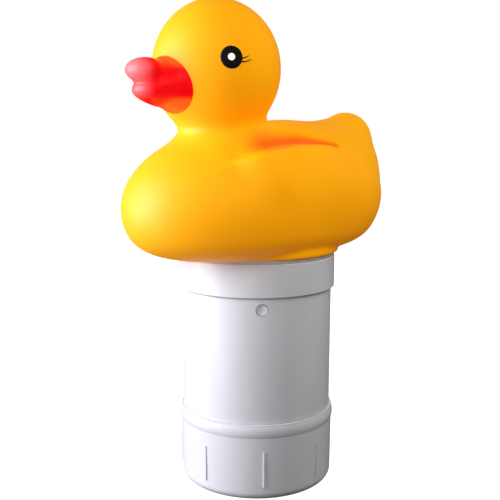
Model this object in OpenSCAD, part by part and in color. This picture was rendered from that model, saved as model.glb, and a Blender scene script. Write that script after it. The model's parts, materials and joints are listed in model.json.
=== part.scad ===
// Floating chlorine dispenser: a hollow duck float that carries a canister of tablets.
// The duck faces -Y. The canister hangs on the Z axis, and its foot stands on z = 0.

/* [Canister] */
// Outside diameter of the canister tube
tube_d = 90.4; // [90:0.1:91]
// Height of the canister's rim above the foot
rim_z = 138.2; // [137:0.2:139]
// Height at which the wider collar starts
collar_z = 119.6; // [119:0.1:120]
// Wall thickness of the canister
tube_wall = 1.9; // [1.7:0.1:2]

/* [Dosing cup] */
// Outside diameter of the cup
cup_d = 92.6; // [92.6:0.1:93.4]
// Height of the cup's rolled rim
cup_h = 45.3; // [44:0.1:46]
// Number of grip ribs round the cup
rib_count = 8; // [4:1:16]
// Number of dosing windows in the floor
window_count = 6; // [6:1:6]

/* [Quick thread] */
// Drop of the canister in one full turn
lead = 24; // [24:1:24]
// Number of thread starts
starts = 3; // [3:1:3]

/* [Child lock] */
// Diameter of the lock hole in the tube
lock_hole_d = 7.2; // [7:0.1:7.6]
// Height of the lock hole
lock_z = 112.2; // [111:0.2:113]
// Direction of the lock hole, counted from +X
lock_az = -36; // [-40:1:-30]

/* [Tablets] */
// Diameter of one tablet
tablet_d = 74; // [70:1:74]
// Thickness of one tablet
tablet_h = 24; // [20:1:24]

/* [Float] */
// Width of the duck's belly
belly_w = 116; // [115:1:117]
// Radius of the duck's head, seen from above
head_r = 36.4; // [36:0.1:37]
// Half the height of the head
head_v = 39.2; // [38.8:0.1:39.6]
// How far the head's centre stands forward of the canister
head_fwd = 30; // [29.8:0.1:30.4]
// Height of the head's centre
head_z = 245.6; // [245.4:0.1:246]
// Skin thickness of the hollow float
skin = 2.4; // [2:0.1:3]

/* [Hidden] */
$fn = 96;
eps = 0.01;
running = 0.2;                           // radial gap between parts that turn on each other

tube_r = tube_d / 2;
bore_r = tube_r - tube_wall;             // inside of the tube
collar_r = tube_r + 1.9;                 // outside of the wider collar
socket_r = collar_r - tube_wall;         // inside of the collar
socket_z = collar_z + 1.6;               // the collar's inner shoulder
cup_r = cup_d / 2;
cup_wall = 1.7;
cup_bore_r = cup_r - cup_wall;
sleeve_r = cup_bore_r - running;         // lower end of the tube, inside the cup
shoulder_z = cup_h + 0.7;                // where the tube narrows to enter the cup

floor_z = 3;                             // underside of the cup's floor
floor_t = 2;
grid_z = floor_z + floor_t + 0.3;        // underside of the tube's slotted floor
grid_t = 2.2;
stack_z = grid_z + grid_t + 2.1;         // the tablets lie on ribs, clear of the floor
stack_rib_h = 2;
window_in = 14;
window_out = 34;
window_deg = 28;
dial_deg = 30;                           // turn of the cup from closed to open
hub_r = 5;
stop_r = 38.2;                           // circle on which the stop pin travels
stop_pin_r = 1.4;
foot_r = 41;                             // outer edge of the flat foot
screw_r = 1.7;
seam_az = -34.5;                         // mould seam, on which one grip rib lies

seal_t = 1;
flange_z = rim_z + seal_t;               // underside of the float base's flange
flange_t = 3;
flange_r = 46.9;
spigot_r = bore_r - 0.5;
spigot_in = spigot_r - 2;
spigot_z = 104;
belly_z = 140.3;                         // flat underside of the duck
gasket_z = flange_z + flange_t;
gasket_t = 1;
lip_z = gasket_z + gasket_t;             // underside of the duck's mouth lip
mouth_r = 40.4;
clamp_z = lip_z + skin + 0.1;
clamp_t = 3;
clamp_r = 46;
base_screw_ring = 34.4;
base_screw_count = 6;

ridge_h = 2.2;                           // axial thickness of a thread ridge
ridge_gap = 0.25;
male_z = 122.5;
female_z = male_z + ridge_h + ridge_gap;
thread_az = 30;
thread_play = 10;                        // the tube's ridges are shorter than the base's at both ends

belly_c = [0, -10, 168];                 // fuller front egg of the belly
belly_s = [belly_w / 2, 76, 46];
rump_c = [0, 25, 174];                   // egg that carries the belly backwards
rump_s = [belly_w / 2 - 3, 59, 42];
belly_foot_r = 52;                       // flat under the belly, round the base
foot_edge = 8;                           // rounding of the belly's lower edge
back_c = [0, 34, 190];                   // saddle between the neck and the tail
back_s = [40, 44, 24];
tail_root = [0, 60, 168];
tail_root_s = [40, 26, 20];
tail_tip = [0, 75, 206];
tail_s = [19, 16, 16];
neck_fwd = 26.9;
neck_z = 213.5;                          // waist of the neck
neck_r = 26.3;
neck_soft = 4;
breast_slope = 1.15;
head_slope = 0.35;
neck_low = -19;
neck_high = 18;
head_c = [0, -head_fwd, head_z];
eye_az = 65.7;                           // eyes, counted from the beak round the head
eye_el = 6.5;
eye_r = 6.3;
print_t = 0.35;                          // thickness of the printed eyes

// ---------- helpers ----------

// A ring about Z, from z0 to z1
module ring(r_out, r_in, z0, z1) {
    translate([0, 0, z0])
        difference() {
            cylinder(r = r_out, h = z1 - z0);
            translate([0, 0, -1]) cylinder(r = r_in, h = z1 - z0 + 2);
        }
}

// An ellipsoid at p with half sizes s, drawn in by inset
module blob(p, s, inset = 0) {
    translate(p) scale([s[0] - inset, s[1] - inset, s[2] - inset]) sphere(r = 1, $fn = 36);
}

// A mirrored pair, one on each side of the duck
module both_sides() {
    children();
    mirror([1, 0, 0]) children();
}

// A helical ridge of trapezoid section: root and crest radius, height at angle 0, span in degrees
module helix_ridge(root, crest, z0, from, span) {
    steps = ceil(span / 6);
    section = [[root, -ridge_h / 2], [crest, -ridge_h / 4], [crest, ridge_h / 4], [root, ridge_h / 2]];
    points = [
        for (i = [0:steps], p = section)
            let (a = span * i / steps)
                [p[0] * cos(from + a), p[0] * sin(from + a), z0 + p[1] + lead * a / 360]
    ];
    sides = [
        for (i = [0:steps - 1], k = [0:3])
            let (a = 4 * i + k, b = 4 * i + (k + 1) % 4)
                [a, b, b + 4, a + 4]
    ];
    quads = crest > root ? sides : [for (f = sides) [f[3], f[2], f[1], f[0]]];
    ends = crest > root ? [[3, 2, 1, 0], [for (k = [0:3]) 4 * steps + k]]
                        : [[0, 1, 2, 3], [for (k = [3:-1:0]) 4 * steps + k]];
    polyhedron(points, concat(quads, ends));
}

// Fan-shaped windows round the Z axis
module windows(z0, h) {
    for (i = [0:window_count - 1])
        rotate([0, 0, i * 360 / window_count - window_deg / 2])
            translate([0, 0, z0])
                rotate_extrude(angle = window_deg)
                    translate([window_in, 0]) square([window_out - window_in, h]);
}

// Places children on the lock's axis, with +X pointing outwards
module at_lock() {
    translate([0, 0, lock_z]) rotate([0, 0, lock_az]) children();
}

// Places children on the head at the left eye, with +Z pointing outwards
module at_eye() {
    translate(head_c) rotate([0, 0, eye_az - 90]) rotate([0, 90 - eye_el, 0]) children();
}

// The head's egg shape, swollen by lift
module head_egg(lift) {
    translate(head_c) scale([1, 1, head_v / head_r]) sphere(r = head_r + lift);
}

// Keeps the part of its children that lies in a thin skin on the head
module head_print(lift) {
    intersection() {
        children();
        difference() {
            head_egg(lift + print_t);
            head_egg(lift);
        }
    }
}

// ---------- float ----------

// Radius of the neck at height dz above its waist, flaring with the given slope
function neck_flare(dz, slope) = neck_r + sqrt(pow(neck_soft, 2) + pow(slope * dz, 2)) - neck_soft;

// The neck, a waisted tube that flares into the breast and the head
module neck(inset) {
    steps = 16;
    translate([0, -neck_fwd, neck_z])
        rotate_extrude($fn = 48)
            polygon([
                [0, neck_low],
                for (i = [0:steps])
                    let (dz = neck_low + (neck_high - neck_low) * i / steps)
                        [neck_flare(dz, dz < 0 ? breast_slope : head_slope) - inset, dz],
                [0, neck_high]
            ]);
}

// Outer form of the duck; inset draws every surface in to make the hollow
module duck_form(inset = 0) {
    // belly: two eggs over a flat, round-edged foot
    hull() {
        intersection() {
            union() {
                blob(belly_c, belly_s, inset);
                blob(rump_c, rump_s, inset);
            }
            // the eggs count only above the belly's rounded edge
            translate([-100, -120, belly_z + 2 * foot_edge]) cube([200, 240, 80]);
        }
        translate([0, -3, belly_z + foot_edge])
            scale([1, 1.4, 1])
                rotate_extrude($fn = 48)
                    translate([belly_foot_r - foot_edge, 0]) circle(r = foot_edge - inset, $fn = 16);
    }
    // back, and the tail drawn up from it
    hull() {
        blob(back_c, back_s, inset);
        blob(tail_root, tail_root_s, inset);
        blob(tail_tip, tail_s, inset);
    }
    neck(inset);
    blob(head_c, [head_r, head_r, head_v], inset);
    // wings, raised a little from the sides
    both_sides()
        hull() {
            blob([34, -38, 190], [8, 10, 7], inset);
            blob([44, -4, 186], [12, 28, 18], inset);
            blob([38, 24, 191], [9, 9, 10], inset);
        }
}

module duck_shell() {
    color("gold")
        difference() {
            duck_form();
            intersection() {
                duck_form(skin);
                translate([-150, -150, lip_z + skin]) cube(300);
            }
            // flat underside, recess for the base's flange, and mouth
            translate([-150, -150, belly_z - 60]) cube([300, 300, 60]);
            translate([0, 0, belly_z - 1]) cylinder(r = flange_r + 0.5, h = lip_z - belly_z + 1);
            cylinder(r = mouth_r, h = lip_z + skin + 1);
        }
}

// One bill half as a row of flattened ball pairs from the head to the tip; each station is
// [sideways, ahead of the head's centre, height, half width, half height]
module bill_half(stations) {
    for (i = [0:len(stations) - 2])
        hull()
            for (s = [stations[i], stations[i + 1]])
                both_sides() blob([s[0], -head_fwd - s[1], s[2]], [s[3], s[3], s[4]]);
}

module beak() {
    upper = [
        [6.5, 28, 240, 12, 11], [6.5, 33, 240.5, 11, 8.5], [6.5, 38, 241.5, 10, 6.2],
        [6, 43, 243, 9, 6], [5, 47, 244, 7.5, 6]
    ];
    lower = [
        [6.5, 28, 231.5, 12, 10], [6.5, 32, 232, 10.5, 8], [6, 36, 233, 9.5, 6],
        [5.5, 40, 234, 8.5, 4.5], [5, 43.5, 234.5, 7.5, 3.8]
    ];
    color("crimson")
        difference() {
            union() {
                bill_half(upper);
                bill_half(lower);
            }
            head_egg(0.1);
        }
}

module eye_discs() {
    color("black")
        both_sides()
            head_print(0.05) at_eye() cylinder(r = eye_r, h = head_r + 5);
}

module eye_pupils() {
    color("white")
        both_sides()
            head_print(0.1 + print_t) at_eye() cylinder(r = 2.3, h = head_r + 5);
}

// Two curved lashes behind each eye
module eyelashes() {
    color("black")
        both_sides()
            head_print(0.05)
                at_eye()
                    for (lash = [[0.6, 3.2], [-2.4, 5.2]])
                        translate([-lash[0], eye_r + 0.8 - abs(lash[0]) * 0.35, head_r - 5])
                            rotate([0, 0, 6])
                                translate([-lash[1] * 1.2, 0, 0])
                                    rotate_extrude(angle = 48)
                                        translate([lash[1] * 1.2 - 0.4, 0]) square([0.8, 10]);
}

module float_base() {
    boss_free_r = spigot_in - 0.6;
    color("white")
        difference() {
            union() {
                ring(flange_r, boss_free_r, flange_z, gasket_z);
                translate([0, 0, flange_z]) cylinder(r = boss_free_r + 1, h = flange_t);
                ring(spigot_r, spigot_in, spigot_z, flange_z + 1);
                ring(mouth_r - 0.3, mouth_r - 2, gasket_z - 1, lip_z + skin - 0.2);
                for (i = [0:starts - 1])
                    rotate([0, 0, 360 * i / starts])
                        helix_ridge(spigot_r - 0.6, spigot_r + 1.9, male_z, thread_az, 90);
            }
            at_lock() rotate([0, 90, 0]) cylinder(d = lock_hole_d - 0.3, h = 60);
            for (i = [0:base_screw_count - 1])
                rotate([0, 0, 360 * i / base_screw_count])
                    translate([base_screw_ring, 0, flange_z - 1])
                        cylinder(r = screw_r + 0.2, h = flange_t + 2);
        }
}

module base_gasket() {
    color("dimgray") ring(flange_r - 0.3, mouth_r + 0.2, gasket_z, lip_z);
}

module clamp_ring() {
    color("whitesmoke")
        difference() {
            union() {
                ring(clamp_r, 29.5, clamp_z, clamp_z + clamp_t);
                for (i = [0:base_screw_count - 1])
                    rotate([0, 0, 360 * i / base_screw_count])
                        translate([base_screw_ring, 0, gasket_z + 0.05])
                            cylinder(r = 3.6, h = clamp_z + clamp_t - gasket_z - 0.05);
            }
            for (i = [0:base_screw_count - 1])
                rotate([0, 0, 360 * i / base_screw_count])
                    translate([base_screw_ring, 0, gasket_z - 1])
                        cylinder(r = screw_r + 0.05, h = 20);
        }
}

// A pan-head screw pointing up, its head's bearing face at z = 0
module pan_screw(length) {
    difference() {
        union() {
            translate([0, 0, -1.7]) cylinder(r1 = 2.7, r2 = 3.4, h = 1.7);
            translate([0, 0, -eps]) cylinder(r = screw_r, h = length - 1 + eps);
            translate([0, 0, length - 1]) cylinder(r1 = screw_r, r2 = 0.7, h = 1);
        }
        for (a = [0, 90])
            rotate([0, 0, a]) translate([-1.7, -0.4, -2]) cube([3.4, 0.8, 1.2]);
    }
}

module base_screws() {
    color("silver")
        for (i = [0:base_screw_count - 1])
            rotate([0, 0, 360 * i / base_screw_count])
                translate([base_screw_ring, 0, flange_z - 0.05]) pan_screw(9);
}

// Springy leaf inside the spigot that holds the lock button out
module lock_tongue() {
    leaf_r = spigot_in - 1.6;
    color("white")
        union() {
            intersection() {
                ring(leaf_r, leaf_r - 1, lock_z - 4.7, flange_z - 7);
                at_lock() translate([leaf_r - 5, -4.5, -20]) cube([10, 9, 60]);
            }
            intersection() {
                ring(spigot_in - 0.05, leaf_r - 0.5, flange_z - 13, flange_z - 7);
                at_lock() translate([leaf_r - 5, -4.5, -20]) cube([10, 9, 60]);
            }
        }
}

module lock_button() {
    face_r = tube_r - 0.8;
    color("white")
        difference() {
            at_lock()
                rotate([0, 90, 0]) {
                    translate([0, 0, spigot_in - 1.5]) cylinder(r = 4.4, h = 1.2);
                    translate([0, 0, spigot_in - 1])
                        cylinder(d = lock_hole_d - 0.6, h = face_r - spigot_in + 1);
                }
            at_lock() translate([face_r + 8.6, 0, 0]) sphere(r = 9);
        }
}

// ---------- canister ----------

module rim_seal() {
    color("lightgray") ring(collar_r - 0.3, socket_r + 0.2, rim_z, flange_z);
}

// The tube's turned outline, from the slotted floor up to the collar's rim
module tube_profile() {
    corner = 4;
    polygon([
        [0, grid_z], [sleeve_r - corner, grid_z], [sleeve_r, grid_z + corner], [sleeve_r, shoulder_z],
        [tube_r - 0.3, shoulder_z], [tube_r, collar_z - 1.3], [collar_r, collar_z], [collar_r, rim_z - 0.6],
        [collar_r - 0.6, rim_z], [socket_r, rim_z], [socket_r, socket_z], [bore_r, socket_z - 1.6],
        [bore_r, shoulder_z + 2], [sleeve_r - tube_wall, shoulder_z],
        [sleeve_r - tube_wall, grid_z + corner + 1],
        [sleeve_r - corner - 1.2, grid_z + grid_t], [0, grid_z + grid_t]
    ]);
}

module canister_tube() {
    stack_ribs = window_count;
    color("white")
        difference() {
            union() {
                rotate_extrude() tube_profile();
                for (i = [0:starts - 1])
                    rotate([0, 0, 360 * i / starts])
                        helix_ridge(
                            socket_r + 0.6, socket_r - 1.8,
                            female_z + lead * thread_play / 360, thread_az + thread_play, 90 - 2 * thread_play
                        );
                // ribs that hold the tablets off the floor
                for (i = [0:stack_ribs - 1])
                    rotate([0, 0, (i + 0.5) * 360 / stack_ribs])
                        translate([8, -1, grid_z + grid_t - 0.5]) cube([28, 2, stack_rib_h + 0.5]);
                // hub on which the cup turns, and the boss for its screw
                translate([0, 0, floor_z + 0.1]) cylinder(r = hub_r, h = grid_z - floor_z);
                translate([0, 0, grid_z + 1]) cylinder(r = 4.5, h = grid_t + stack_rib_h - 1);
                // stop pin that ends the cup's turn
                rotate([0, 0, 180 / window_count])
                    translate([stop_r, 0, floor_z + 0.4]) cylinder(r = stop_pin_r, h = grid_z - floor_z);
            }
            windows(grid_z - 1, grid_t + 1.5);
            translate([0, 0, floor_z - 1]) cylinder(r = screw_r + 0.05, h = 12);
            at_lock() rotate([0, 90, 0]) cylinder(d = lock_hole_d, h = 60);
        }
}

module pivot_washer() {
    color("silver") ring(8, screw_r + 0.15, floor_z - 0.9, floor_z - 0.1);
}

module pivot_screw() {
    color("silver") translate([0, 0, floor_z - 0.95]) pan_screw(6.6);
}

// The cup's turned outline: foot, rounded corner, drafted wall and rolled rim
module cup_profile() {
    corner = 5;
    draft = 0.4;
    bead_z = cup_h - 4.05;
    bead_curve = 9.3;
    difference() {
        union() {
            translate([0, floor_z]) square([cup_r - corner, floor_t]);
            translate([foot_r - 4, 0]) square([cup_r - draft - corner - foot_r + 4, floor_z + 1]);
            intersection() {
                translate([cup_r - draft - corner, corner]) circle(r = corner);
                translate([cup_r - draft - corner - eps, 0]) square([corner + 1, corner + eps]);
            }
            polygon([
                [cup_bore_r - 3, corner - eps], [cup_r - draft, corner - eps], [cup_r, cup_h - 8],
                [cup_r, cup_h], [cup_bore_r - 3, cup_h]
            ]);
            intersection() {
                translate([cup_r + 0.7 - bead_curve, bead_z]) circle(r = bead_curve);
                translate([cup_bore_r, bead_z - 4.05]) square([5, 8.1]);
            }
        }
        translate([-1, floor_z + floor_t]) square([cup_bore_r - 3.4, cup_h]);
        polygon([
            [cup_bore_r - 4.5, floor_z + floor_t], [cup_bore_r - 3.6, floor_z + floor_t],
            [cup_bore_r, floor_z + floor_t + 3.6], [cup_bore_r, cup_h + 1], [cup_bore_r - 4.5, cup_h + 1]
        ]);
    }
}

module dosing_cup() {
    color("white")
        difference() {
            union() {
                rotate_extrude() cup_profile();
                for (i = [0:rib_count - 1])
                    rotate([0, 0, seam_az + 360 * i / rib_count])
                        translate([cup_r - 1, 0, 8.6])
                            linear_extrude(height = 21)
                                polygon([[0, -0.7], [1.45, -0.3], [1.45, 0.3], [0, 0.7]]);
            }
            // the floor's windows stand closed, half a pitch away from the tube's
            rotate([0, 0, dial_deg]) windows(floor_z - 1, floor_t + 2);
            translate([0, 0, floor_z - 1]) cylinder(r = hub_r + running / 2, h = floor_t + 2);
            // arc slot for the stop pin
            rotate([0, 0, 180 / window_count - dial_deg])
                translate([0, 0, floor_z - 1])
                    rotate_extrude(angle = dial_deg)
                        translate([stop_r - stop_pin_r - 0.2, 0]) square([2 * stop_pin_r + 0.4, floor_t + 2]);
            for (a = [0, -dial_deg])
                rotate([0, 0, 180 / window_count + a])
                    translate([stop_r, 0, floor_z - 1]) cylinder(r = stop_pin_r + 0.2, h = floor_t + 2);
        }
}

// ---------- tablets ----------

// Tablet number i of the stack, counted from the bottom
module tablet(i) {
    bevel = 1.5;
    translate([0, 0, stack_z + i * (tablet_h + 0.1)])
        rotate_extrude()
            polygon([
                [0, 0], [tablet_d / 2 - bevel, 0], [tablet_d / 2, bevel], [tablet_d / 2, tablet_h - bevel],
                [tablet_d / 2 - bevel, tablet_h], [0, tablet_h]
            ]);
}

module tablet_bottom() color("ghostwhite") tablet(0);
module tablet_lower() color("ghostwhite") tablet(1);
module tablet_upper() color("ghostwhite") tablet(2);
module tablet_top() color("ghostwhite") tablet(3);

duck_shell();
beak();
eye_discs();
eye_pupils();
eyelashes();
float_base();
base_gasket();
clamp_ring();
base_screws();
lock_tongue();
lock_button();
rim_seal();
canister_tube();
pivot_screw();
pivot_washer();
dosing_cup();
tablet_bottom();
tablet_lower();
tablet_upper();
tablet_top();
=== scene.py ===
import json
import math

import bpy
import numpy as np
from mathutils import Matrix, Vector


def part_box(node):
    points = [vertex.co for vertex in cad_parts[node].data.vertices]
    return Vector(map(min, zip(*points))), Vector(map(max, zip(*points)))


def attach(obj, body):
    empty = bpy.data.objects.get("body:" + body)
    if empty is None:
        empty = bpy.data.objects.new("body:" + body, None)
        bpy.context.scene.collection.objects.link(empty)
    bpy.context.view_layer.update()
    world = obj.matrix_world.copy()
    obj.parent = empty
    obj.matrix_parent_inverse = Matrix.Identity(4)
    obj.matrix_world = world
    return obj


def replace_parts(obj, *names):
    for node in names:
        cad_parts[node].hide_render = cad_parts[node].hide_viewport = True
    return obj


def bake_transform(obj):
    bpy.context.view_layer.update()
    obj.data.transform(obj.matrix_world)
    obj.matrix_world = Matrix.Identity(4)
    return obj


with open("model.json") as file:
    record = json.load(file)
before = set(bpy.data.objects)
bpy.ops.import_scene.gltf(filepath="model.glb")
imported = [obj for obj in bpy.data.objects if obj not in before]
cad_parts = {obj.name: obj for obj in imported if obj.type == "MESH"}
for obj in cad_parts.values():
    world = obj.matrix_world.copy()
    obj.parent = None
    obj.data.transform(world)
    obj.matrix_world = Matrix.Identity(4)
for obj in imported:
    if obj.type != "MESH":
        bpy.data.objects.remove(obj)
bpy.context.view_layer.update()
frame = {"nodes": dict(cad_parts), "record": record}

MM = 0.001
scene = bpy.context.scene


def node_box(name):
    """A CAD node's lowest and highest corners in millimetres."""
    return [np.array(corner, float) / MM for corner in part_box(name)]


# ---------------------------------------------------------------- shapes (in millimetres)
# Every place is counted from the boxes of the CAD pieces that the shapes stand for.

SHELL_LO, SHELL_HI = node_box("duck_shell")
BEAK_LO, BEAK_HI = node_box("beak")
BASE_HI = node_box("float_base")[1]
GASKET_HI = node_box("base_gasket")[1]
EYES_LO, EYES_HI = node_box("eye_discs")
BUTTON_LO, BUTTON_HI = node_box("lock_button")
LEAF_LO, LEAF_HI = node_box("lock_tongue")

HALF_W = SHELL_HI[0]                 # half the belly's width
BREAST_Y = SHELL_LO[1]               # foremost point of the breast
RUMP_Y = SHELL_HI[1]                 # rearmost point of the tail
BELLY_Z = SHELL_LO[2]                # flat underside
CROWN_Z = SHELL_HI[2]                # top of the head

HEAD_R = (36.4, 36.4, 39.2)
HEAD_C = (0.0, BREAST_Y + 56, CROWN_Z - HEAD_R[2])
NECK_R, NECK_Y = 22, HEAD_C[1] + 4
NECK_LO, NECK_HI = BELLY_Z + 60, BELLY_Z + 92
LIP = 2.4                            # thickness of the mouth's lip
SKIN = 3.2                           # and of the rest, thick enough for the mesh's grid
LIP_Z = GASKET_HI[2]                 # the mouth's lip lies on the gasket
MOUTH_R, MOUTH_H = 40.4, 20          # hole in the lip, around the base's spigot
RECESS_R = BASE_HI[0] + 0.4          # clear of the base's flange
SEAT_WALL, SEAT_H = 1.8, 18          # thickness and height of the ring around that recess
SAG, SAG_SLOPE = 0.6, 0.03           # the underside hangs lower, and more so towards the breast


def smin(a, b, k):
    h = np.clip(0.5 + 0.5 * (b - a) / k, 0, 1)
    return b * (1 - h) + a * h - k * h * (1 - h)


def smax(a, b, k):
    return -smin(-a, -b, k)


def ellipsoid(p, c, r):
    r = np.array(r, float)
    q = p - np.array(c, float)
    k0 = np.sqrt(((q / r) ** 2).sum(-1))
    k1 = np.sqrt(((q / r ** 2) ** 2).sum(-1))
    return k0 * (k0 - 1) / np.maximum(k1, 1e-6)


def cone(p, a, b, ra, rb):
    a, b = np.array(a, float), np.array(b, float)
    ba = b - a
    t = np.clip((p - a) @ ba / (ba @ ba), 0, 1)
    return np.sqrt(((p - a - t[..., None] * ba) ** 2).sum(-1)) - (ra + (rb - ra) * t)


def step(x, lo, hi):
    t = np.clip((x - lo) / (hi - lo), 0, 1)
    return t * t * (3 - 2 * t)


def mirrored(p):
    q = p.copy()
    q[..., 0] = np.abs(q[..., 0])
    return q


def head(p):
    return ellipsoid(p, HEAD_C, HEAD_R)


WING_Z = BELLY_Z + 63.5              # highest point of the wing's top edge
WING_Y = BREAST_Y + 88               # and where it is
WING_ARCH = 0.0034                   # how fast that edge drops forwards and backwards
WING_EDGE = 1.2                      # how soft it is
WING_SWELL, WING_HOLLOW = 4.4, 2.4   # how far the side comes out below it, and goes in above
WING_LEAN = 0.8                      # how much slower the wing's ends fade out lower down


def wing_top(y):
    return WING_Z - WING_ARCH * (y - WING_Y) ** 2


def duck_body(p):
    """Belly, back, tail and breast as eggs that flow into each other."""
    belly = ellipsoid(p, (0, BREAST_Y + 75, BELLY_Z + 27), (HALF_W - 0.5, 75.5, 46.5))
    rump = ellipsoid(p, (0, RUMP_Y - 65, BELLY_Z + 32.5), (HALF_W - 3, 58.5, 43.5))
    back = ellipsoid(p, (0, BREAST_Y + 117, BELLY_Z + 52), (36, 46, 18.5))
    tail = cone(p, (0, RUMP_Y - 42, BELLY_Z + 47), (0, RUMP_Y - 16, BELLY_Z + 65.5), 24.5, 17)
    keel = ellipsoid(p, (0, RUMP_Y - 25, BELLY_Z + 49), (28, 24, 25))
    tail = smin(tail, keel, 8)
    breast = ellipsoid(p, (0, BREAST_Y + 70, BELLY_Z + 45), (39.5, 36.5, 20))
    body = smin(smin(belly, rump, 14), back, 12)
    return smin(smin(body, tail, 13), breast, 14)


def add_wing(d, p):
    """The side swells below a crisp top edge, and is hollowed above it."""
    x, y, z = p[..., 0], p[..., 1], p[..., 2]
    rise = z - wing_top(y)
    depth = np.maximum(-rise, 0)
    front = step(y, WING_Y - 52, WING_Y - 41 + WING_LEAN * depth)
    rear = 1 - step(y, WING_Y + 8, WING_Y + 26 + WING_LEAN * depth)
    along = front * rear * step(x, 14, 26)
    fuller = WING_SWELL + 1.6 * (1 - step(y, WING_Y - 38, WING_Y))
    swell = fuller * along * step(z, BELLY_Z + 14, BELLY_Z + 58)
    # twice as soft at the wing's front
    soft = WING_EDGE + WING_EDGE * (1 - step(y, WING_Y - 46, WING_Y - 14))
    pad = smax(d - swell, rise, soft)
    hollow = WING_HOLLOW * along * np.exp(-((rise - 2.5) / 4.5) ** 2)
    return smin(d + hollow, pad, WING_EDGE)


def duck(p):
    p = mirrored(p)
    y, z = p[..., 1], p[..., 2]
    r = np.sqrt(p[..., 0] ** 2 + y ** 2)
    d = add_wing(duck_body(p), p)
    underside = BELLY_Z - SAG + SAG_SLOPE * y - z
    d = smax(d, underside, 16 - 3 * step(y, -20, 40))
    seat = smax(r - RECESS_R - SEAT_WALL, BELLY_Z + 0.4 - z, 1.0)
    seat = smax(seat, z - BELLY_Z - SEAT_H, 2.5)
    d = smin(d, seat, 1.2)
    neck = cone(p, (0, NECK_Y, NECK_LO), (0, NECK_Y - 1, NECK_HI), NECK_R, NECK_R)
    return smin(smin(d, neck, 13), head(p), 5)


def duck_skin(p):
    """The duck, with a recess for the base, a mouth in the recess and a hollow inside."""
    d = duck(p)
    r = np.sqrt(p[..., 0] ** 2 + p[..., 1] ** 2)
    z = p[..., 2]
    recess = np.maximum(r - RECESS_R, z - LIP_Z)
    mouth = np.maximum(r - MOUTH_R, z - LIP_Z - MOUTH_H)
    cavity = np.maximum(d + SKIN, LIP_Z + LIP - z)
    return np.maximum(np.maximum(d, -recess), np.maximum(-mouth, -cavity))


MOUTH_Z = (BEAK_LO[2] + BEAK_HI[2]) / 2
FLARE_X, FLARE_Z = BEAK_HI[0] + 0.2, (BEAK_HI[2] - BEAK_LO[2]) / 2 + 1.2
FLARE_RISE = 4.6                     # how far the bill's root stands off the head
BILL_SINK = 2.0                      # how deep the bill reaches into the head


def bill(p):
    """A broad trunk on a lump that follows the head, parted into two lips at its tip."""
    p = mirrored(p)
    x, z = p[..., 0], p[..., 2]
    reach = np.sqrt((x / FLARE_X) ** 2 + ((z - MOUTH_Z) / FLARE_Z) ** 2)
    lump = head(p) - FLARE_RISE * np.sqrt(np.clip(1 - reach ** 2, 0, 1))
    lump = smax(smax(lump, (reach - 1) * FLARE_Z, 1), p[..., 1] - HEAD_C[1], 1)
    trunk = ellipsoid(p, (0, HEAD_C[1] - 34, MOUTH_Z - 0.8), (15.6, 17.5, 11.4))
    upper = ellipsoid(p, (0, HEAD_C[1] - 47.2, MOUTH_Z + 7.4), (11.6, 10.4, 6.6))
    lower = ellipsoid(p, (0, HEAD_C[1] - 44.8, MOUTH_Z - 3.2), (10, 8.6, 4.3))
    lips = smin(upper, lower, 0.4)
    d = smin(smin(lump, trunk, 4), lips, 4)
    return np.maximum(d, -(head(p) + BILL_SINK))


# the lock's leaf hangs from a pad on the base's spigot, and the button stands on its lower end
LOCK_OUT = (BUTTON_LO + BUTTON_HI) * (1, 1, 0)
LOCK_OUT = LOCK_OUT / np.linalg.norm(LOCK_OUT)
LOCK_SIDE = np.array([-LOCK_OUT[1], LOCK_OUT[0], 0.0])
LEAF_T, LEAF_W, PAD_H = 1.0, 9.0, 6.0    # the leaf's thickness and width, the pad's height
LEAF_ROUND = 0.25                    # how soft the leaf's edges are
PAD_R = MOUTH_R + 0.35               # just into the spigot
LEAF_R = PAD_R - 1.55                # the leaf's outer face


def box_between(x, lo, hi):
    return np.abs(x - (lo + hi) / 2) - (hi - lo) / 2


def leaf(p):
    """A curved springy strip with a thicker pad at its root."""
    r = np.sqrt(p[..., 0] ** 2 + p[..., 1] ** 2)
    z = p[..., 2]
    wide = box_between(p @ LOCK_SIDE, -LEAF_W / 2, LEAF_W / 2)
    thin = box_between(r, LEAF_R - LEAF_T, LEAF_R)
    strip = smax(thin, box_between(z, LEAF_LO[2], LEAF_HI[2]), LEAF_ROUND)
    thick = box_between(r, LEAF_R - LEAF_T, PAD_R)
    pad = smax(thick, box_between(z, LEAF_HI[2] - PAD_H, LEAF_HI[2]), LEAF_ROUND)
    return smax(np.minimum(strip, pad), wide, LEAF_ROUND)


def fill_checkered(inside):
    """Fills cell faces whose corners alternate, as four quads would share one edge there.

    Says how many there were, because filling one can make another.
    """
    filled = 0
    for u, v in ((0, 1), (0, 2), (1, 2)):
        corners = []
        for i, j in ((0, 0), (1, 0), (1, 1), (0, 1)):
            at = [slice(None)] * 3
            at[u] = slice(i, inside.shape[u] - 1 + i)
            at[v] = slice(j, inside.shape[v] - 1 + j)
            corners.append(inside[tuple(at)])
        bad = (corners[0] == corners[2]) & (corners[1] == corners[3]) & (corners[0] != corners[1])
        for corner in corners:
            corner |= bad
        filled += bad.sum()
    return filled


COARSE, REACH = 4, 9                 # cells between the first samples, and cells refined around them
PROBE = 0.02                         # distance over which a field's slope is measured


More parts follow.
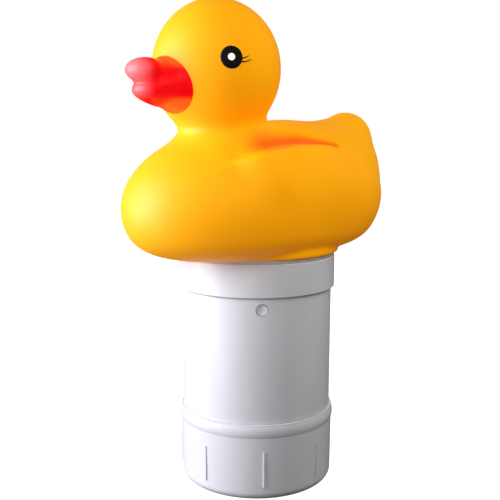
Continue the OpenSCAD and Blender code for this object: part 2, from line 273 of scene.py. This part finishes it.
def sampled(field, lo, n, h):
    """The field's values on a grid: coarse ones, and then in full near the surface."""
    axes = [lo[i] + h * np.arange(n[i] + 1) for i in range(3)]
    near = np.stack(np.meshgrid(*[a[::COARSE] for a in axes], indexing="ij"), -1)
    values = field(near.reshape(-1, 3)).reshape(near.shape[:3])
    for i in range(3):
        values = np.repeat(values, COARSE, i)
    values = values[: n[0] + 1, : n[1] + 1, : n[2] + 1]
    todo = np.abs(values) < REACH * h
    # a coarse point stands for the cells after it, so the mask is grown backwards as well
    for i in range(3):
        todo |= np.roll(todo, -COARSE, i)
        todo |= np.roll(todo, COARSE, i)
    values[todo] = field(lo + h * np.argwhere(todo))
    return values


def edge_quads(inside, index, n):
    """One quad for each grid edge that the surface crosses, between the points of its four cells."""
    quads = []
    for ax in range(3):
        u, v = (ax + 1) % 3, (ax + 2) % 3
        first = [slice(0, n[i]) for i in range(3)]
        second = list(first)
        second[ax] = slice(1, n[ax] + 1)
        a, b = inside[tuple(first)], inside[tuple(second)]
        edge = np.argwhere(a != b)
        edge = edge[(edge[:, u] > 0) & (edge[:, v] > 0)]
        out = a[tuple(edge.T)]
        du, dv = np.eye(3, dtype=int)[u], np.eye(3, dtype=int)[v]
        ring = np.stack([index[tuple((edge - s).T)] for s in (du + dv, dv, 0 * du, du)], -1)
        ring[~out] = ring[~out][:, ::-1]
        quads.append(ring)
    return np.concatenate(quads)


def slope(field, points, at_points, e=PROBE):
    """The field's slope at some points, where its own values are at_points."""
    return np.stack([(field(points + e * np.eye(3)[i]) - at_points) / e for i in range(3)], -1)


def onto(field, points, h, rounds):
    """Moves points onto the surface, by no more than h at a time."""
    for _ in range(rounds):
        f = field(points)
        g = slope(field, points, f)
        # a nearly flat field would send a point too far
        g2 = np.maximum((g ** 2).sum(-1), 0.05)
        move = -(f / g2)[:, None] * g
        size = np.linalg.norm(move, axis=1)
        points = points + move * np.minimum(1, h / np.maximum(size, 1e-9))[:, None]
    return points


def evened(points, quads):
    """Each point moved halfway to the middle of its neighbours."""
    total = np.zeros_like(points)
    count = np.zeros(len(points))
    for k in range(4):
        a, b = quads[:, k], quads[:, (k + 1) % 4]
        np.add.at(total, a, points[b])
        np.add.at(total, b, points[a])
        np.add.at(count, a, 1)
        np.add.at(count, b, 1)
    return 0.5 * points + 0.5 * total / count[:, None]


def net(field, lo, hi, h, relax=2):
    """Quad mesh of the surface where field is 0, with one point in each cell of size h it crosses."""
    lo = np.array(lo, float)
    n = np.ceil((np.array(hi, float) - lo) / (COARSE * h)).astype(int) * COARSE
    inside = sampled(field, lo, n, h) < 0
    while fill_checkered(inside):
        pass
    corners = [inside[a: a + n[0], b: b + n[1], c: c + n[2]]
               for a in (0, 1) for b in (0, 1) for c in (0, 1)]
    cell = np.any(corners, 0) & ~np.all(corners, 0)
    index = -np.ones(cell.shape, int)
    index[cell] = np.arange(cell.sum())
    quads = edge_quads(inside, index, n)
    points = onto(field, lo + h * (np.argwhere(cell) + 0.5), h, 3)
    for _ in range(relax):
        points = onto(field, evened(points, quads), h, 2)
    return points, quads


def piece(name, points, faces, slot, body=None):
    """A smooth mesh from points in millimetres. It rides on body, if one is given."""
    mesh = bpy.data.meshes.new(name)
    corners = [tuple(p) for p in np.asarray(points) * MM]
    mesh.from_pydata(corners, [], [tuple(int(i) for i in f) for f in faces])
    mesh.validate()
    mesh.polygons.foreach_set("use_smooth", [True] * len(mesh.polygons))
    obj = bpy.data.objects.new(name, mesh)
    scene.collection.objects.link(obj)
    mesh.materials.append(MATERIALS[slot])
    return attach(obj, body) if body else obj


# ---------------------------------------------------------------- materials

INPUTS = {
    "color": "Base Color",
    "rough": "Roughness",
    "metal": "Metallic",
    "spec": "Specular IOR Level",
    "tint": "Specular Tint",
    "coat": "Coat Weight",
    "coat_rough": "Coat Roughness",
    "sss": "Subsurface Weight",
    "radius": "Subsurface Radius",
    "sss_scale": "Subsurface Scale",
}


class Mat:
    """A node material with object coordinates in millimetres ready to use."""

    def __init__(self, name):
        self.mat = bpy.data.materials.new(name)
        self.mat.use_nodes = True
        self.tree = self.mat.node_tree
        self.bsdf = self.tree.nodes["Principled BSDF"]
        coord = self.tree.nodes.new("ShaderNodeTexCoord")
        self.p = self.scaled(coord.outputs["Object"], (1 / MM, 1 / MM, 1 / MM))
        split = self.tree.nodes.new("ShaderNodeSeparateXYZ")
        self.link(self.p, split.inputs[0])
        self.x, self.y, self.z = split.outputs

    def link(self, a, b):
        self.tree.links.new(a, b)

    def put(self, socket, value):
        if isinstance(value, bpy.types.NodeSocket):
            self.link(value, socket)
        else:
            socket.default_value = value

    def scaled(self, vector, by):
        n = self.tree.nodes.new("ShaderNodeVectorMath")
        n.operation = "MULTIPLY"
        self.put(n.inputs[0], vector)
        self.put(n.inputs[1], by)
        return n.outputs["Vector"]

    def math(self, op, a, b=0.0, c=0.0):
        n = self.tree.nodes.new("ShaderNodeMath")
        n.operation = op
        for s, v in zip(n.inputs, (a, b, c)):
            self.put(s, v)
        return n.outputs[0]

    def ramp(self, value, lo, hi, to_lo=0.0, to_hi=1.0):
        n = self.tree.nodes.new("ShaderNodeMapRange")
        n.interpolation_type = "SMOOTHSTEP"
        for s, v in zip(n.inputs, (value, lo, hi, to_lo, to_hi)):
            self.put(s, v)
        return n.outputs[0]

    def noise(self, scale, detail=3.0, rough=0.5, vector=None):
        n = self.tree.nodes.new("ShaderNodeTexNoise")
        self.link(vector or self.p, n.inputs["Vector"])
        n.inputs["Scale"].default_value = scale
        n.inputs["Detail"].default_value = detail
        n.inputs["Roughness"].default_value = rough
        return n.outputs["Fac"]

    def mottle(self, scale, lo=0.0, hi=1.0, spread=0.2):
        """Noise stretched to run from lo to hi."""
        return self.ramp(self.noise(scale), 0.5 - spread, 0.5 + spread, lo, hi)

    def mix(self, fac, a, b):
        n = self.tree.nodes.new("ShaderNodeMix")
        n.data_type = "RGBA"
        self.put(n.inputs[0], fac)
        for s, v in zip((n.inputs[6], n.inputs[7]), (a, b)):
            self.put(s, v if isinstance(v, bpy.types.NodeSocket) else (*v, 1.0))
        return n.outputs[2]

    def bump(self, height, strength, distance):
        n = self.tree.nodes.new("ShaderNodeBump")
        n.inputs["Strength"].default_value = strength
        n.inputs["Distance"].default_value = distance * MM
        self.link(height, n.inputs["Height"])
        self.link(n.outputs[0], self.bsdf.inputs["Normal"])

    def painted_glow(self, color, strength):
        """Painted glow: emission that stands in for light coming through the thin hollow skin."""
        self.put(self.bsdf.inputs["Emission Color"], color)
        self.bsdf.inputs["Emission Strength"].default_value = strength

    def set(self, **values):
        for k, v in values.items():
            s = self.bsdf.inputs[INPUTS[k]]
            if k == "color" and not isinstance(v, bpy.types.NodeSocket):
                v = (*v, 1.0)
            self.put(s, v)


# strengths of the painted glow, emission on the yellow vinyl, the red bill and the printed ink
VINYL_PAINTED_GLOW, BEAK_PAINTED_GLOW, INK_PAINTED_GLOW = 0.33, 0.46, 0.4
TINT_WIDE, TINT_THIN = 17.0, 4.0     # height of the orange over the wing's front and rear


def vinyl():
    m = Mat("yellow_vinyl")
    color = m.mix(m.mottle(0.02, spread=0.15), (0.98, 0.47, 0.004), (1.0, 0.49, 0.006))
    # orange tint in the hollow over each wing, in the colour here and in the painted glow below
    off = m.math("ADD", m.y, -WING_Y)
    top = m.math("MULTIPLY_ADD", m.math("MULTIPLY", off, off), -WING_ARCH, WING_Z)
    rise = m.math("SUBTRACT", m.z, top)
    reach = m.ramp(m.y, WING_Y - 22.0, WING_Y + 24.0, TINT_WIDE, TINT_THIN)
    fade = m.ramp(m.math("DIVIDE", rise, reach), 0.1, 1.0, 1.0, 0.0)
    band = m.math("MULTIPLY", m.ramp(rise, -0.8, 0.6), fade)
    begins = m.ramp(m.y, WING_Y - 42.0, WING_Y - 22.0)
    ends = m.ramp(m.y, WING_Y + 22.0, WING_Y + 27.0, 1.0, 0.0)
    along = m.math("MULTIPLY", begins, ends)
    side = m.ramp(m.math("ABSOLUTE", m.x), 20.0, 32.0)
    tint = m.math("MULTIPLY", m.math("MULTIPLY", band, along), side)
    color = m.mix(tint, color, (1.0, 0.12, 0.005))
    m.set(color=color, rough=m.mottle(0.15, 0.5, 0.58),
          sss=0.15, radius=(1.0, 0.45, 0.05), sss_scale=0.006,
          spec=0.35, tint=(1.0, 0.85, 0.7, 1.0), coat=0.2, coat_rough=0.42)
    # painted glow over the whole yellow skin, redder where the orange tint lies
    m.painted_glow(m.mix(tint, (1.0, 0.28, 0.0), (1.0, 0.14, 0.0)), VINYL_PAINTED_GLOW)
    m.bump(m.noise(0.8, 2.0), 0.06, 0.1)
    return m.mat


def beak_paint():
    m = Mat("red_vinyl")
    color = m.mix(m.mottle(0.08, spread=0.15), (0.86, 0.002, 0.004), (0.92, 0.004, 0.008))
    # orange where the red runs out above and below, and a painted highlight that turns the tip pale
    # pink
    near = m.ramp(m.y, HEAD_C[1] - 44.0, HEAD_C[1] - 35.0)
    over = m.ramp(m.z, MOUTH_Z + 7.0, MOUTH_Z + 11.5)
    under = m.ramp(m.z, MOUTH_Z - 9.0, MOUTH_Z - 6.0, 1.0, 0.0)
    warm = m.math("MULTIPLY", m.math("MAXIMUM", over, under), near)
    color = m.mix(m.math("MULTIPLY", warm, 0.9), color, (1.0, 0.13, 0.015))
    # painted highlight: the tip paled towards pink, as if lit strongly from the left
    pale = m.ramp(m.y, HEAD_C[1] - 57.0, HEAD_C[1] - 47.0, 0.55, 0.0)
    color = m.mix(pale, color, (1.0, 0.3, 0.32))
    m.set(color=color, rough=m.mottle(0.3, 0.3, 0.36),
          sss=0.08, radius=(1.0, 0.2, 0.1), sss_scale=0.003,
          spec=0.15, coat=0.12, coat_rough=0.2)
    # painted glow in the bill's own colours
    m.painted_glow(color, BEAK_PAINTED_GLOW)
    m.bump(m.noise(0.6, 2.0), 0.02, 0.1)
    return m.mat


def ink(name, color, rough):
    m = Mat(name)
    paler = tuple(min(1.0, c * 1.15 + 0.003) for c in color)
    tone = m.mix(m.mottle(0.9), color, paler)
    m.set(color=tone, rough=m.mottle(1.5, rough, rough + 0.06), spec=0.3)
    # painted glow in the ink's own tone
    m.painted_glow(tone, INK_PAINTED_GLOW)
    m.bump(m.noise(2.0), 0.1, 0.05)
    return m.mat


def plastic(name, color, rough):
    m = Mat(name)
    # long faint streaks up the tube
    streak = m.noise(0.06, 2.0, 0.5, m.scaled(m.p, (1.0, 1.0, 0.25)))
    tone = m.mix(m.ramp(streak, 0.35, 0.65), color, tuple(c * 0.965 for c in color))
    m.set(color=tone, rough=m.mottle(0.2, rough, rough + 0.07),
          sss=0.05, radius=(1.0, 1.0, 1.0), sss_scale=0.002)
    m.bump(m.noise(0.5, 2.0), 0.1, 0.12)
    return m.mat


def rubber(name, color):
    m = Mat(name)
    tone = m.mix(m.mottle(0.4), color, tuple(c * 0.85 for c in color))
    m.set(color=tone, rough=m.mottle(1.0, 0.6, 0.75))
    m.bump(m.noise(2.5, 3.0), 0.2, 0.1)
    return m.mat


def steel():
    m = Mat("steel")
    # fine rings, as left by turning
    turned = m.noise(1.2, 3.0, 0.6, m.scaled(m.p, (1.0, 1.0, 6.0)))
    tone = m.mix(m.ramp(turned, 0.3, 0.7), (0.62, 0.62, 0.64), (0.74, 0.74, 0.75))
    m.set(color=tone, metal=1.0, rough=m.ramp(turned, 0.3, 0.7, 0.26, 0.38))
    m.bump(turned, 0.15, 0.05)
    return m.mat


def chalk():
    m = Mat("tablet_chalk")
    grain = m.noise(1.4, 4.0, 0.65)
    tone = m.mix(m.ramp(grain, 0.35, 0.65), (0.86, 0.86, 0.83), (0.93, 0.93, 0.91))
    m.set(color=tone, rough=m.ramp(grain, 0.3, 0.7, 0.8, 0.95))
    m.bump(grain, 0.35, 0.4)
    return m.mat


MATERIALS = {
    "yellow_vinyl": vinyl(),
    "red_vinyl": beak_paint(),
    "black_paint": ink("black_paint", (0.004, 0.003, 0.003), 0.5),
    "white_paint": ink("white_paint", (0.95, 0.95, 0.93), 0.4),
    "white_plastic": plastic("white_plastic", (0.84, 0.838, 0.862), 0.3),
    "pale_rubber": rubber("pale_rubber", (0.62, 0.64, 0.66)),
    "grey_rubber": rubber("grey_rubber", (0.2, 0.21, 0.22)),
    "steel": steel(),
    "tablet_chalk": chalk(),
}
for sub in frame["record"]["subparts"]:
    node = frame["nodes"][sub["node"]]
    node.data.materials.clear()
    node.data.materials.append(MATERIALS[sub["material_slot"]])

# ---------------------------------------------------------------- the duck

GRID, BILL_GRID, LEAF_GRID = ((1.35, 0.5, 0.25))

# each net gets some room around the CAD piece's box, because the shape may reach past it
points, quads = net(duck_skin, SHELL_LO - 7, SHELL_HI + 8, GRID)
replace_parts(piece("duck_skin", points, quads, "yellow_vinyl", "float"), "duck_shell")

points, quads = net(bill, BEAK_LO - 4, BEAK_HI + (4, 12, 4), BILL_GRID)
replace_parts(piece("bill", points, quads, "red_vinyl", "float"), "beak")

# ---------------------------------------------------------------- the lock's bending leaf

points, quads = net(leaf, LEAF_LO - 1, LEAF_HI + 1, LEAF_GRID, relax=1)
spring = piece("leaf_spring", points, quads, "white_plastic")
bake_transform(spring)
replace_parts(spring, "lock_tongue")

# ---------------------------------------------------------------- printed eyes

EYE_Y, EYE_Z = (EYES_LO[1:] + EYES_HI[1:]) / 2
EYE_EL = math.asin((EYE_Z - HEAD_C[2]) / HEAD_R[2])
EYE_AZ = math.acos((HEAD_C[1] - EYE_Y) / HEAD_R[0])
EYE_R, EYE_LIFT = 6.0, 0.22
PUPIL_R, PUPIL_LIFT = 2.15, 0.36
OUTSIDE, WALK = 60, 40               # where points start from the head's centre, and their steps


def eye_axes(side):
    """Unit vectors out of the head at the eye, back along the skin, and up along it."""
    flat = math.cos(EYE_EL)
    out = np.array([side * math.sin(EYE_AZ) * flat, -math.cos(EYE_AZ) * flat, math.sin(EYE_EL)])
    back = np.array([side * math.cos(EYE_AZ), math.sin(EYE_AZ), 0.0])
    up = np.cross(back, out) * (-side)
    up = up if up[2] > 0 else -up
    return out, back, up


def on_head(uv, side, lift):
    """Points at (back, up) offsets from the eye's centre, laid on the head and raised by lift."""
    uv, lift = np.array(uv), np.array(lift)
    out, back, up = eye_axes(side)
    # from a place well outside, walk in along the eye's axis
    p = np.array(HEAD_C) + OUTSIDE * out + uv[:, :1] * back + uv[:, 1:] * up
    for _ in range(WALK):
        p = p - 0.9 * head(p)[:, None] * out
    n = slope(head, p, head(p), PROBE / 2)
    n /= np.linalg.norm(n, axis=1)[:, None]
    return p + n * lift[:, None]


RINGS, SECTORS = 8, 48
RIM_SINK = 0.3                       # how deep a printed spot's rim lies in the skin


def disc(name, side, centre, radius, lift, slot, replaced):
    """A round printed spot: a low dome with its rim sunk in the skin."""
    centre = np.array(centre)
    angles = [2 * math.pi * k / SECTORS for k in range(SECTORS)]
    circle = [radius * np.array([math.cos(a), math.sin(a)]) for a in angles]
    uv, up = [centre], [lift]
    for i in range(1, RINGS + 1):
        t = i / RINGS
        uv += [centre + c * t for c in circle]
        up += [lift * (1 - t ** 8)] * SECTORS
    uv += [centre + c for c in circle]
    up += [-RIM_SINK] * SECTORS
    faces = [(0, 1 + k, 1 + (k + 1) % SECTORS) for k in range(SECTORS)]
    for i in range(RINGS):
        a, b = 1 + i * SECTORS, 1 + (i + 1) * SECTORS
        faces += [(a + k, b + k, b + (k + 1) % SECTORS, a + (k + 1) % SECTORS)
                  for k in range(SECTORS)]
    faces.append(tuple(range(1 + RINGS * SECTORS, 1 + (RINGS + 1) * SECTORS))[::-1])
    if side < 0:
        faces = [f[::-1] for f in faces]
    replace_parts(piece(name, on_head(uv, side, up), faces, slot, "float"), replaced)


LASH_STEPS = 14
# the lash's section: places across it in half widths, and heights over the skin
LASH_SECTION = ((-1, -0.2), (-0.8, 0.16), (0, 0.2), (0.8, 0.16), (1, -0.2))


def lash(name, side, start, end, sag, half_width):
    """A printed stroke that hangs by sag in the middle and thins out towards its end."""
    start, end = np.array(start), np.array(end)
    along = (end - start) / np.linalg.norm(end - start)
    across = np.array([-along[1], along[0]])
    uv, up, faces = [], [], []
    for i in range(LASH_STEPS + 1):
        t = i / LASH_STEPS
        middle = start + (end - start) * t - across * sag * 4 * t * (1 - t)
        width = half_width * (1 - 0.75 * t ** 1.5)
        for place, height in LASH_SECTION:
            uv.append(middle + across * width * place)
            up.append(height)
    ring = len(LASH_SECTION)
    for i in range(LASH_STEPS):
        for k in range(ring):
            a, b = ring * i + k, ring * i + (k + 1) % ring
            faces.append((a, b, b + ring, a + ring))
    faces += [tuple(range(ring))[::-1], tuple(ring * LASH_STEPS + k for k in range(ring))]
    if side > 0:
        faces = [f[::-1] for f in faces]
    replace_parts(piece(name, on_head(uv, side, up), faces, "black_paint", "float"), "eyelashes")


for side, tag in ((1, "left"), (-1, "right")):
    disc("eye_disc_" + tag, side, (0, 0), EYE_R, EYE_LIFT, "black_paint", "eye_discs")
    disc("eye_pupil_" + tag, side, (-0.1, 0.1), PUPIL_R, PUPIL_LIFT, "white_paint", "eye_pupils")
    # start and end as (back, up) offsets from the eye's centre, then sag and half width
    lash("lash_upper_" + tag, side, (5.6, -0.4), (9.6, 1.3), 0.35, 0.42)
    lash("lash_lower_" + tag, side, (5.4, -2.2), (11.2, -0.5), 0.5, 0.45)

# ---------------------------------------------------------------- floor, light and camera

FLOOR_HALF = 3.0                     # in metres
FLOOR_BOUNCE, FLOOR_GLOW = 0.05, 0.96

corners = [(-FLOOR_HALF, -FLOOR_HALF, 0), (FLOOR_HALF, -FLOOR_HALF, 0),
           (FLOOR_HALF, FLOOR_HALF, 0), (-FLOOR_HALF, FLOOR_HALF, 0)]
floor_mesh = bpy.data.meshes.new("floor")
floor_mesh.from_pydata(corners, [], [(0, 1, 2, 3)])
floor = bpy.data.objects.new("floor", floor_mesh)
scene.collection.objects.link(floor)
# the camera sees the floor as nearly white, and the object gets almost no light from it
m = Mat("floor")
seen = m.tree.nodes.new("ShaderNodeLightPath").outputs["Is Camera Ray"]
pale = m.mix(m.mottle(0.01), (0.88, 0.88, 0.88), (0.9, 0.9, 0.9))
m.set(color=m.mix(seen, (FLOOR_BOUNCE,) * 3, pale),
      rough=m.mottle(0.05, 0.85, 0.95), spec=0.1)
m.bump(m.noise(0.5), 0.02, 0.1)
m.link(m.math("MULTIPLY", seen, FLOOR_GLOW), m.bsdf.inputs["Emission Strength"])
m.bsdf.inputs["Emission Color"].default_value = (1, 1, 1, 1)
floor_mesh.materials.append(m.mat)

# the camera looks at the duck from its front left, and a little downwards
CAM_AZ, CAM_YAW, CAM_PITCH = math.radians(50), math.radians(-0.46), math.radians(-8.4)
CAM_DIST, CAM_Z = 0.490, 0.212      # in metres
LENS, SENSOR = 58.8, 36.0            # in millimetres
forward = Vector((-math.sin(CAM_AZ), math.cos(CAM_AZ), 0))
right = Vector((math.cos(CAM_AZ), math.sin(CAM_AZ), 0))
look = forward * math.cos(CAM_YAW) + right * math.sin(CAM_YAW)
look = look * math.cos(CAM_PITCH) + Vector((0, 0, math.sin(CAM_PITCH)))
cam_data = bpy.data.cameras.new("camera")
cam = bpy.data.objects.new("camera", cam_data)
scene.collection.objects.link(cam)
cam.location = -forward * CAM_DIST + Vector((0, 0, CAM_Z))
cam.rotation_mode = "QUATERNION"
cam.rotation_quaternion = look.to_track_quat("-Z", "Y")
cam_data.sensor_width, cam_data.lens = SENSOR, LENS
cam_data.clip_start, cam_data.clip_end = 0.01, 20.0
scene.camera = cam

AIM = Vector((0, 0, BELLY_Z + 30)) * MM


def aim_from(light, toward, distance):
    """Places a light and points it at the duck.

    toward is in the camera's terms: right, towards the camera, up.
    """
    scene.collection.objects.link(light)
    d = (right * toward[0] - forward * toward[1] + Vector((0, 0, toward[2]))).normalized()
    light.location = AIM + d * distance
    light.rotation_mode = "QUATERNION"
    light.rotation_quaternion = (-d).to_track_quat("-Z", "Y")


def area(name, toward, distance, size, power, color=(1, 1, 1), sheen=False):
    data = bpy.data.lights.new(name, "AREA")
    data.shape = "RECTANGLE"
    data.size, data.size_y = size
    data.energy, data.color = power, color
    light = bpy.data.objects.new(name, data)
    light.visible_glossy = sheen
    aim_from(light, toward, distance)


def spot(name, toward, distance, angle, power):
    """A soft-edged spot, brightest at the duck and weaker towards the foot."""
    data = bpy.data.lights.new(name, "SPOT")
    data.spot_size, data.spot_blend = math.radians(angle), 1.0
    data.shadow_soft_size = 0.2
    data.energy = power
    light = bpy.data.objects.new(name, data)
    light.visible_glossy = False
    aim_from(light, toward, distance)


KEY, FILL, SIDE, BACK = 7.0, 6.5, 1.9, 2.3       # in watts
WORLD = 0.06
area("key", (-0.98, 0.22, 0.12), 0.6, (0.5, 0.6), KEY, (1.0, 1.0, 1.1), True)
spot("fill", (0.2, 1.0, 0.6), 0.6, 76, FILL)
area("side", (1.0, -0.1, 0.6), 0.7, (0.4, 0.5), SIDE)
area("back", (-0.1, -1.0, 0.5), 0.9, (0.8, 0.8), BACK)

# the camera sees white, and everything else is lit by a dim grey
world = bpy.data.worlds.new("studio")
scene.world = world
world.use_nodes = True
tree = world.node_tree
path = tree.nodes.new("ShaderNodeLightPath")
mixer = tree.nodes.new("ShaderNodeMix")
mixer.data_type = "RGBA"
tree.links.new(path.outputs["Is Camera Ray"], mixer.inputs[0])
mixer.inputs[6].default_value = (WORLD, WORLD, WORLD, 1)
mixer.inputs[7].default_value = (1, 1, 1, 1)
tree.links.new(mixer.outputs[2], tree.nodes["Background"].inputs["Color"])
scene.view_settings.view_transform = "Standard"
